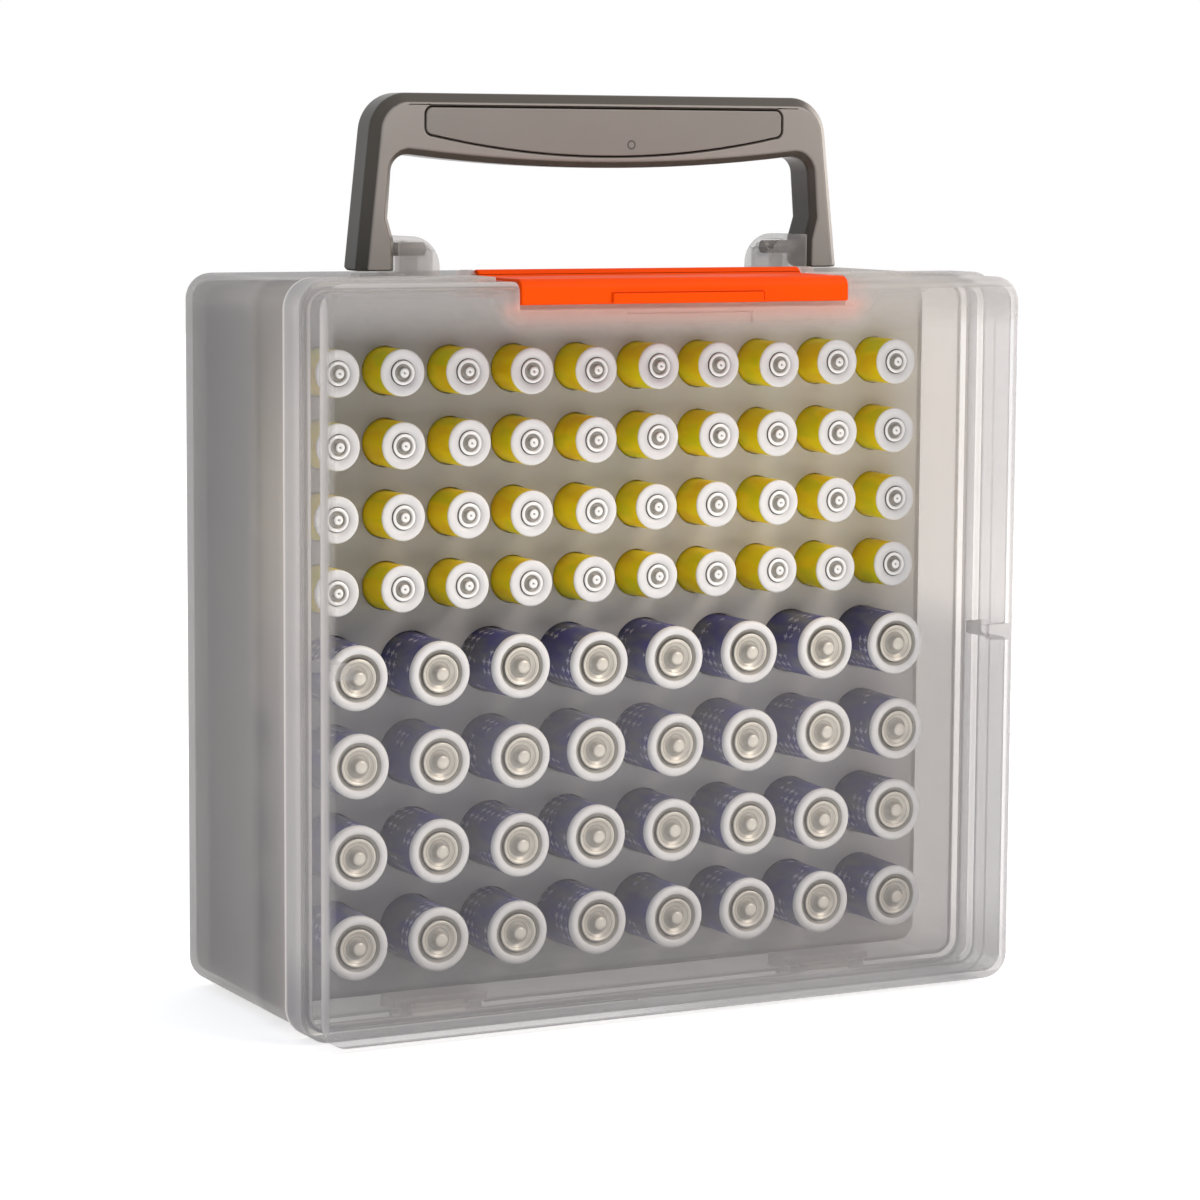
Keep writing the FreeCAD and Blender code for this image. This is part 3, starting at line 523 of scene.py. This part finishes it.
def cell_row(kind, row, mesh, across, radius, materials):
    """One row of cells in the place of its solid. Each leans about its socket's mouth."""
    node = f"{kind}_cells_row_{row}"
    bm = bmesh.new()
    mouth = Matrix.Translation((0, tray_low.y, 0))
    for x, z in cell_places(node, across, radius):
        before = len(bm.verts)
        bm.from_mesh(mesh)
        bm.verts.ensure_lookup_table()
        bm.faces.ensure_lookup_table()
        cell = bm.verts[before:]
        turn = Matrix.Rotation(random.uniform(0, math.tau), 4, "Y")
        lean = Matrix.Rotation(random.uniform(-LEAN, LEAN), 4, "X")
        sway = Matrix.Rotation(random.uniform(-LEAN, LEAN), 4, "Z")
        seat = Matrix.Translation((x, 0, z))
        bmesh.ops.transform(
            bm, matrix=seat @ mouth @ sway @ lean @ mouth.inverted() @ turn, verts=cell
        )
        sleeve = bm.loops.layers.uv.active
        shift = random.uniform(0, SHIFT_MOST)
        for vert in cell:
            for loop in vert.link_loops:
                loop[sleeve].uv.x += shift
    row_mesh = bpy.data.meshes.new(node)
    bm.to_mesh(row_mesh)
    bm.free()
    piece = bpy.data.objects.new(f"{kind}_row_{row}", row_mesh)
    bpy.context.scene.collection.objects.link(piece)
    fitted(piece, "base", f"{kind}_cell", materials, node)


# Pressed card gives a flat white ring. Nickel plate is bright and pale, less so on the bigger
# cells. The groove and the recesses round the nub are painted dull and dark, as shade.
SLEEVE, WASHER, NICKEL, GROOVE, RECESS = range(5)
white_washer = cell_skin("pressed_card_washer", "#DEDEDC", "#D4D4D3", 0.0, 0.45)
nickel_plate = cell_skin("nickel_plated_steel", "#D9D4C8", "#C9C4B8", 0.25, 0.34)
bright_nickel = cell_skin("nickel_plated_steel_bright", "#F6F6F4", "#E9E9E6", 0.1, 0.3)
# Painted shade: the groove and the recesses are darker than the metal round them.
shadow_groove = cell_skin("painted_shadow_groove", "#67635C", "#57534D", 0.0, 0.6)
shaded_recess = cell_skin("nickel_plated_recess_shaded", "#A8A59C", "#98958D", 0.2, 0.5)

# The AAA cells. Four rows of ten, in olive sleeves. The terminal's nub has a dimple, and a narrow
# pressed ring stands round it in the wide white washer.
aaa_low, aaa_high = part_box("aaa_cells_row_1")
aaa_tip, aaa_back = aaa_low.y, aaa_high.y
aaa_face = aaa_tip + 1.2 * MM
AAA_PROFILE = [
    (0.0, aaa_tip + 0.35 * MM, RECESS), (0.25 * MM, aaa_tip + 0.3 * MM, RECESS),
    (0.38 * MM, aaa_tip + 0.05 * MM, NICKEL), (0.5 * MM, aaa_tip + 0.02 * MM, NICKEL),
    (0.85 * MM, aaa_tip + 0.02 * MM, NICKEL), (1.05 * MM, aaa_tip + 0.2 * MM, NICKEL),
    (1.15 * MM, aaa_face, RECESS),
    (1.25 * MM, aaa_face + 0.2 * MM, RECESS), (1.85 * MM, aaa_face + 0.2 * MM, RECESS),
    (1.9 * MM, aaa_face + 0.05 * MM, RECESS), (1.98 * MM, aaa_face - 0.3 * MM, NICKEL),
    (2.15 * MM, aaa_face - 0.45 * MM, NICKEL), (2.55 * MM, aaa_face - 0.45 * MM, NICKEL),
    (2.72 * MM, aaa_face - 0.3 * MM, NICKEL), (2.76 * MM, aaa_face + 0.1 * MM, GROOVE),
    (2.9 * MM, aaa_face + 0.1 * MM, GROOVE), (2.96 * MM, aaa_face - 0.08 * MM, WASHER),
    (4.8 * MM, aaa_face - 0.1 * MM, WASHER), (5.1 * MM, aaa_face - 0.02 * MM, WASHER),
    (AAA_RADIUS, aaa_face + 0.15 * MM, WASHER), (AAA_RADIUS, aaa_face + 0.3 * MM, WASHER),
    (AAA_RADIUS, aaa_back - 0.3 * MM, SLEEVE), (AAA_RADIUS - 0.3 * MM, aaa_back, SLEEVE),
    (0.0, aaa_back, NICKEL),
]
olive_sleeve = printed_sleeve("printed_film_olive", ["#D6D000", "#ECD600", "#E6C400"])
aaa_finishes = [olive_sleeve, white_washer, bright_nickel, shadow_groove, shaded_recess]
aaa_mesh = spun_cell(AAA_PROFILE, 32)
for row in ROWS:
    cell_row("aaa", row, aaa_mesh, AAA_ACROSS, AAA_RADIUS, aaa_finishes)

# The AA cells. Four rows of eight, in slate sleeves with pale plus signs. The nub is a plain dome
# in a wide hollow, and the washer is a narrow ring at the edge.
aa_low, aa_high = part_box("aa_cells_row_1")
aa_tip, aa_back = aa_low.y, aa_high.y
aa_face = aa_tip + 1.5 * MM
AA_PROFILE = [
    (0.0, aa_tip + 0.02 * MM, NICKEL), (1.0 * MM, aa_tip + 0.06 * MM, NICKEL),
    (1.45 * MM, aa_tip + 0.2 * MM, NICKEL), (1.75 * MM, aa_face - 0.4 * MM, RECESS),
    (2.0 * MM, aa_face + 0.3 * MM, RECESS), (2.7 * MM, aa_face + 0.45 * MM, RECESS),
    (3.1 * MM, aa_face + 0.2 * MM, NICKEL), (3.4 * MM, aa_face - 0.1 * MM, NICKEL),
    (3.55 * MM, aa_face - 0.15 * MM, RECESS), (3.7 * MM, aa_face - 0.2 * MM, NICKEL),
    (3.9 * MM, aa_face - 0.4 * MM, NICKEL), (4.15 * MM, aa_face - 0.4 * MM, NICKEL),
    (4.3 * MM, aa_face - 0.25 * MM, NICKEL), (4.34 * MM, aa_face + 0.5 * MM, GROOVE),
    (4.52 * MM, aa_face + 0.5 * MM, GROOVE), (4.6 * MM, aa_face + 0.35 * MM, RECESS),
    (5.1 * MM, aa_face + 0.1 * MM, RECESS), (5.35 * MM, aa_face - 0.15 * MM, RECESS),
    (5.55 * MM, aa_face - 0.35 * MM, WASHER), (5.9 * MM, aa_face - 0.5 * MM, WASHER),
    (6.5 * MM, aa_face - 0.52 * MM, WASHER), (6.95 * MM, aa_face - 0.32 * MM, WASHER),
    (AA_RADIUS, aa_face + 0.1 * MM, WASHER), (AA_RADIUS, aa_face + 0.75 * MM, WASHER),
    (AA_RADIUS, aa_back - 0.4 * MM, SLEEVE), (AA_RADIUS - 0.4 * MM, aa_back, SLEEVE),
    (0.0, aa_back, NICKEL),
]
slate_sleeve = printed_sleeve(
    "printed_film_slate", ["#505092", "#606288", "#787A84"], marks=("#B9B9D0", 0.45)
)
aa_finishes = [slate_sleeve, white_washer, nickel_plate, shadow_groove, shaded_recess]
aa_mesh = spun_cell(AA_PROFILE, 40)
for row in ROWS:
    cell_row("aa", row, aa_mesh, AA_ACROSS, AA_RADIUS, aa_finishes)

# The pins. The lid and the latch turn on drawn steel wire, which has a plain grey shine, pressed
# into the shells. The handle turns on short pins of milky polypropylene in the lugs.
WIRE_EDGE, PIVOT_EDGE = 0.1 * MM, 0.2 * MM
drawn_wire = cell_skin("drawn_steel_wire", "#9C9A96", "#8A8884", 1.0, 0.3)
pin_polypropylene = moulded_polypropylene(
    "moulded_polypropylene_pin", "#C4C2BE", "#B8B6B2", 0.0
)
for node in ("lid_hinge_pin_left", "lid_hinge_pin_right", "latch_pin"):
    piece = softened(node, f"{node}_turned", WIRE_EDGE)
    fitted(piece, "base", "steel_pin", [drawn_wire], node)
for side in ("left", "right"):
    node = f"handle_pivot_pin_{side}"
    piece = softened(node, f"{node}_turned", PIVOT_EDGE)
    fitted(piece, "base", "pivot_pin", [pin_polypropylene], node)

# The lid. The same polypropylene as the base, but thin and polished inside, so that the cells show
# well through it. Its proud rim and its corners, seen edge on, are milky.
LID_SHADE, LID_CLOUD = "#ABABAE", "#B0B0B2"
LID_CLEAR_SHARE, LOWER_CLEAR_SHARE, END_CLEAR_SHARE, LATCH_CLEAR_SHARE = 0.995, 0.895, 0.66, 0.25
LEFT_WALL_SHARE, RIGHT_WALL_SHARE, EDGE_SHARE = 0.7, 0.42, 0.05
# How much painted light pales the lid in each zone.
LID_PALE, LID_LOW_PALE, LID_RIGHT_PALE, RIM_EDGE_PALE = 0.4, 0.14, 0.22, 0.9
RIM_BAND, LID_WALL, GUSSET_REACH, GUSSET_HALF = 9.4 * MM, 2.8 * MM, 5 * MM, 1.8 * MM
rim_line = lid_low.y + LID_DEPTH - RIM_BAND


def lid_clear_share(tree, place):
    """How clear the lid is: most in its front, less in its side walls, hardly in rim and corners."""
    centre = (lid_low + lid_high) / 2
    half_width, half_height = lid_high.x - centre.x, lid_high.z - centre.z
    x, y, z = add_node(tree, "ShaderNodeSeparateXYZ", {"Vector": place}).outputs
    spot = add_node(
        tree, "ShaderNodeVectorMath", {0: place, 1: (centre.x, 0.0, centre.z)}, operation="SUBTRACT"
    )
    away = add_node(tree, "ShaderNodeVectorMath", {0: spot.outputs[0]}, operation="ABSOLUTE")
    out, _, up = add_node(tree, "ShaderNodeSeparateXYZ", {"Vector": away.outputs[0]}).outputs
    # What stands close behind the left wall shows through it; the room behind the right one doesn't.
    to_right = soft_zone(tree, (x, centre.x - 20 * MM, centre.x + 20 * MM))
    wall = over_zones(tree, LEFT_WALL_SHARE, [(to_right, RIGHT_WALL_SHARE)])
    edge = over_zones(tree, EDGE_SHARE, [(to_right, RIGHT_WALL_SHARE)])
    # At mid height a gusset stands in each side wall and reaches further in.
    at_gusset = soft_zone(tree, (up, GUSSET_HALF + 0.2 * MM, GUSSET_HALF))
    gusset = over_zones(tree, 0.0, [(at_gusset, GUSSET_REACH)])
    reach = add_node(tree, "ShaderNodeMath", {0: out, 1: gusset}, operation="ADD").outputs[0]
    walls = [
        soft_zone(tree, (across, half - LID_WALL - 0.6 * MM, half - LID_WALL + 0.2 * MM))
        for across, half in ((reach, half_width), (up, half_height))
    ]
    beside = add_node(tree, "ShaderNodeMath", dict(enumerate(walls)), operation="MAXIMUM")
    outermost = [
        soft_zone(tree, (across, half - 2.0 * MM, half - 1.4 * MM))
        for across, half in ((out, half_width), (up, half_height))
    ]
    outmost = add_node(tree, "ShaderNodeMath", dict(enumerate(outermost)), operation="MAXIMUM")
    foremost = soft_zone(tree, (y, lid_low.y + 3.2 * MM, lid_low.y + 2.4 * MM))
    corner = add_node(
        tree, "ShaderNodeMath", {0: outmost.outputs[0], 1: foremost}, operation="MULTIPLY"
    )
    rim = soft_zone(tree, (y, rim_line - 0.2 * MM, rim_line + 0.2 * MM))
    milky = add_node(tree, "ShaderNodeMath", {0: corner.outputs[0], 1: rim}, operation="MAXIMUM")
    # The front is hazier in its lower half, and at both ends, where the moulding is thicker.
    return over_zones(tree, LID_CLEAR_SHARE, [
        (soft_zone(tree, (z, 90 * MM, 70 * MM)), LOWER_CLEAR_SHARE),
        (soft_zone(tree, (z, 26 * MM, 4 * MM)), END_CLEAR_SHARE),
        (soft_zone(tree, (z, 152 * MM, 162 * MM)), END_CLEAR_SHARE),
        # Near the latch the lid is hazier, so that the painted orange light shows.
        (painted_latch_glow(tree, place), LATCH_CLEAR_SHARE),
        (beside.outputs[0], wall),
        (milky.outputs[0], edge),
    ])


def painted_lid_light(tree, place):
    """Painted light: the lid is painted pale, less so near its foot, but for a window in its left
    wall, and for the lower half of its right side, which no lamp lights from behind. The rear
    edge of the rim, where its wall ends, is painted the palest."""
    x, y, z = add_node(tree, "ShaderNodeSeparateXYZ", {"Vector": place}).outputs
    above_foot = soft_zone(tree, (z, 8 * MM, 24 * MM))
    pale = over_zones(tree, LID_LOW_PALE, [(above_foot, LID_PALE)])
    frame_of_window = soft_zone(tree, (x, lid_low.x + 1.3 * MM, lid_low.x + 3.5 * MM))
    window_front, window_rear = lid_low.y + 2 * MM, rim_line + 0.25 * MM
    for start, full in (
        (window_front + 1 * MM, window_front), (window_rear - 0.4 * MM, window_rear)
    ):
        beyond = soft_zone(tree, (y, start, full))
        frame_of_window = add_node(
            tree, "ShaderNodeMath", {0: frame_of_window, 1: beyond}, operation="MAXIMUM"
        ).outputs[0]
    left = add_node(tree, "ShaderNodeMath", {0: pale, 1: frame_of_window}, operation="MULTIPLY")
    upper = soft_zone(tree, (z, LOWER_HALF_TOP, UPPER_HALF_FOOT))
    right = over_zones(tree, 0.0, [(upper, LID_RIGHT_PALE)])
    wall = over_zones(tree, left.outputs[0], [(soft_zone(tree, (x, 60 * MM, 80 * MM)), right)])
    rim_end = lid_low.y + LID_DEPTH
    rim_edge = soft_zone(
        tree, (y, rim_end - 2.2 * MM, rim_end - 0.8 * MM), (x, 80 * MM, 60 * MM)
    )
    edge = over_zones(tree, 0.0, [(rim_edge, RIM_EDGE_PALE)])
    return add_node(tree, "ShaderNodeMath", {0: wall, 1: edge}, operation="MAXIMUM").outputs[0]


# The lid is painted paler by place: painted light.
lid_polypropylene = moulded_polypropylene(
    "moulded_polypropylene_clear", LID_SHADE, LID_CLOUD, lid_clear_share, roughness=0.3,
    painted_light=painted_lid_light,
)
lid = softened("lid_shell", "front_lid", MOULD_EDGE)
fitted(lid, "lid", "translucent_shell", [lid_polypropylene], "lid_shell")

# The latch. One moulding of solid-coloured acetal, which turns on its pin in the base's trough and
# snaps over the lid's rim. The colour is even and full, and the satin skin hardly shines.
LATCH_SHADE, LATCH_DEEP = "#F04E00", "#E84400"
LATCH_EDGE = 0.45 * MM
FLOW_SIZE, GRAIN_SIZE = 18 * MM, 0.6 * MM
GATE_RADIUS, GATE_HALF_WIDTH, GATE_SHADE = 0.9 * MM, 0.2 * MM, "#4A4743"


def moulded_solid(name, shade, deep_shade, roughness, gloss=0.5, glossy_shaded_sides=None, gate=None):
    """A solid-coloured moulding: an even colour with faint flow marks and a fine skin. Round the
    flat front and back the mould is smoother, so the skin is glossier there, and it is painted
    darker there, as shade."""
    material, tree = new_material(name)
    place = add_node(tree, "ShaderNodeTexCoord").outputs["Object"]
    flow = add_node(
        tree, "ShaderNodeTexNoise", {"Vector": place, "Scale": 1 / FLOW_SIZE, "Detail": 3.0}
    )
    tone = add_node(
        tree, "ShaderNodeMix",
        {"Factor": flow.outputs["Fac"], "A": linear(shade), "B": linear(deep_shade)},
        data_type="RGBA",
    )
    colour = tone.outputs["Result"]
    # Painted shade: the faces that turn away from front and back are painted darker.
    if glossy_shaded_sides:
        side_shade, side_roughness = glossy_shaded_sides
        normal = add_node(tree, "ShaderNodeTexCoord").outputs["Normal"]
        facing = add_node(tree, "ShaderNodeSeparateXYZ", {"Vector": normal})
        flat = add_node(tree, "ShaderNodeMath", {0: facing.outputs["Y"]}, operation="ABSOLUTE")
        flat_facing = soft_zone(tree, (flat.outputs[0], 0.78, 0.98))
        colour = add_node(
            tree, "ShaderNodeMix", {"Factor": flat_facing, "A": linear(side_shade), "B": colour},
            data_type="RGBA",
        ).outputs["Result"]
        roughness = over_zones(tree, side_roughness, [(flat_facing, roughness)])
    if gate:
        # The moulding's gate was cut off flush and left a small ring.
        away = add_node(tree, "ShaderNodeVectorMath", {0: place, 1: gate}, operation="DISTANCE")
        ring = add_node(
            tree, "ShaderNodeMath", {0: away.outputs["Value"], 1: GATE_RADIUS, 2: GATE_HALF_WIDTH},
            operation="COMPARE",
        )
        colour = add_node(
            tree, "ShaderNodeMix",
            {"Factor": ring.outputs[0], "A": colour, "B": linear(GATE_SHADE)}, data_type="RGBA",
        ).outputs["Result"]
    grain = add_node(
        tree, "ShaderNodeTexNoise", {"Vector": place, "Scale": 1 / GRAIN_SIZE, "Detail": 2.0}
    )
    skin = add_node(
        tree, "ShaderNodeBump",
        {"Height": grain.outputs["Fac"], "Strength": 0.12, "Distance": 0.05 * MM},
    )
    solid = add_node(
        tree, "ShaderNodeBsdfPrincipled",
        {"Base Color": colour, "Roughness": roughness, "IOR": 1.5, "Specular IOR Level": gloss,
         "Normal": skin.outputs["Normal"]},
    )
    add_node(tree, "ShaderNodeOutputMaterial", {"Surface": solid.outputs["BSDF"]})
    return material


orange_acetal = moulded_solid(
    "moulded_acetal_orange", LATCH_SHADE, LATCH_DEEP, 0.5, gloss=0.05
)
latch = softened("latch", "snap_latch", LATCH_EDGE, segments=3)
fitted(latch, "latch", "orange_latch", [orange_acetal], "latch")

# The handle. Glass-filled nylon in warm grey, satin on its flat front and back and shinier round
# them, where it is also painted darker, as shade. The panel in its front is a second satin
# moulding that snaps in flush.
HANDLE_SHADE, HANDLE_DEEP, HANDLE_SHADED_SIDE = "#908C87", "#88847F", "#504C45"
PANEL_SHADE, PANEL_DEEP = "#807C77", "#78746E"
HANDLE_EDGE, PANEL_EDGE = 0.5 * MM, 0.25 * MM
GATE_X, GATE_Z = 6 * MM, 194.5 * MM
# Painted shade: the handle's sides are painted darker than its front and back.
grey_nylon = moulded_solid(
    "moulded_nylon_warm_grey", HANDLE_SHADE, HANDLE_DEEP, 0.42, gloss=0.25,
    glossy_shaded_sides=(HANDLE_SHADED_SIDE, 0.3),
)
handle = softened("handle_frame", "bail_handle", HANDLE_EDGE, segments=3)
fitted(handle, "handle", "grey_handle", [grey_nylon], "handle_frame")
panel_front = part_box("grip_panel")[0].y
panel_nylon = moulded_solid(
    "moulded_nylon_panel", PANEL_SHADE, PANEL_DEEP, 0.4, gate=(GATE_X, panel_front, GATE_Z)
)
panel = softened("grip_panel", "grip_plate", PANEL_EDGE)
fitted(panel, "handle", "grey_panel", [panel_nylon], "grip_panel")

# The room. A pale painted floor without a sheen, a soft sky that is brighter on the right, and two
# area lamps.
FLOOR_SIZE, FLOOR_GLOW, FLOOR_GAP = 6.0, 0.55, 0.2 * MM
DIM_SKY, BRIGHT_SKY = "#D6E2FF", "#FFFFFF"
BRIGHT_SIDE = (0.46, 0.89, 0.0)
LAMP_SIZE, LAMP_SHADE = 0.7, "#FFF2E6"
floor_material, tree = new_material("matt_painted_floor")
place = add_node(tree, "ShaderNodeTexCoord").outputs["Object"]
mottle = add_node(tree, "ShaderNodeTexNoise", {"Vector": place, "Scale": 4.0, "Detail": 2.0})
paint = add_node(
    tree, "ShaderNodeMix",
    {"Factor": mottle.outputs["Fac"], "A": linear("#F4F4F2"), "B": linear("#F7F7F6")},
    data_type="RGBA",
)
matt = add_node(
    tree, "ShaderNodeBsdfPrincipled",
    {"Base Color": paint.outputs["Result"], "Roughness": 0.8, "Emission Color": linear("#FFFFFF"),
     "Emission Strength": FLOOR_GLOW},
)
add_node(tree, "ShaderNodeOutputMaterial", {"Surface": matt.outputs["BSDF"]})
bm = bmesh.new()
bmesh.ops.create_grid(bm, x_segments=1, y_segments=1, size=FLOOR_SIZE / 2)
bmesh.ops.translate(bm, verts=bm.verts, vec=(0, 0, cad_low.z - FLOOR_GAP))
floor_mesh = bpy.data.meshes.new("floor")
bm.to_mesh(floor_mesh)
bm.free()
floor_mesh.materials.append(floor_material)
floor = bpy.data.objects.new("floor", floor_mesh)
bpy.context.scene.collection.objects.link(floor)

world = bpy.data.worlds.new("studio")
world.use_nodes = True
world.node_tree.nodes.clear()
bpy.context.scene.world = world
tree = world.node_tree
direction = add_node(tree, "ShaderNodeTexCoord").outputs["Generated"]
heights = add_node(tree, "ShaderNodeSeparateXYZ", {"Vector": direction}).outputs["Z"]
# It is brightest behind and to the right of the case, and dim in front and to the left.
towards = add_node(
    tree, "ShaderNodeVectorMath", {0: direction, 1: BRIGHT_SIDE}, operation="DOT_PRODUCT"
)
brightness = add_node(
    tree, "ShaderNodeMapRange",
    {"Value": towards.outputs["Value"], "From Min": -0.5, "From Max": 0.94, "To Min": 0.42},
)
overhead = add_node(
    tree, "ShaderNodeMapRange", {"Value": heights, "From Min": 0.1, "To Min": 1.0, "To Max": 1.1}
)
strength = add_node(
    tree, "ShaderNodeMath",
    {0: brightness.outputs["Result"], 1: overhead.outputs["Result"]}, operation="MULTIPLY",
)
tint = add_node(
    tree, "ShaderNodeMix",
    {"Factor": brightness.outputs["Result"], "A": linear(DIM_SKY), "B": linear(BRIGHT_SKY)},
    data_type="RGBA",
)
sky = add_node(
    tree, "ShaderNodeBackground", {"Color": tint.outputs["Result"], "Strength": strength.outputs[0]}
)
add_node(tree, "ShaderNodeOutputWorld", {"Surface": sky.outputs["Background"]})


def area_lamp(name, place, aim, power):
    """A square soft lamp turned towards a point."""
    lamp = bpy.data.lights.new(name, "AREA")
    lamp.size = LAMP_SIZE
    lamp.energy = power
    lamp.color = linear(LAMP_SHADE)[:3]
    holder = bpy.data.objects.new(name, lamp)
    turn = (Vector(aim) - Vector(place)).to_track_quat("-Z", "Y")
    holder.matrix_world = Matrix.Translation(place) @ turn.to_matrix().to_4x4()
    bpy.context.scene.collection.objects.link(holder)


middle = (cad_low + cad_high) / 2
area_lamp("key", (0.75, -0.85, 0.95), middle, 14)
area_lamp("side", (1.0, 0.35, 0.5), middle, 5)
bpy.context.scene.view_settings.view_transform = "Standard"

# The camera stands low on the left, about 0.9 m off, and looks slightly down at the case through a
# long lens.
LENS, SENSOR = 114.12, 36.0
CAMERA_PLACE = (-0.40352, -0.77491, 0.19288)
YAW, PITCH, ROLL = 0.47956, 0.117275, 0.0061226
lens = bpy.data.cameras.new("camera")
lens.lens = LENS
lens.sensor_width = SENSOR
camera = bpy.data.objects.new("camera", lens)
camera.matrix_world = (
    Matrix.Translation(CAMERA_PLACE) @ Matrix.Rotation(-YAW, 4, "Z")
    @ Matrix.Rotation(math.pi / 2 - PITCH, 4, "X") @ Matrix.Rotation(ROLL, 4, "Z")
)
bpy.context.scene.collection.objects.link(camera)
bpy.context.scene.camera = camera
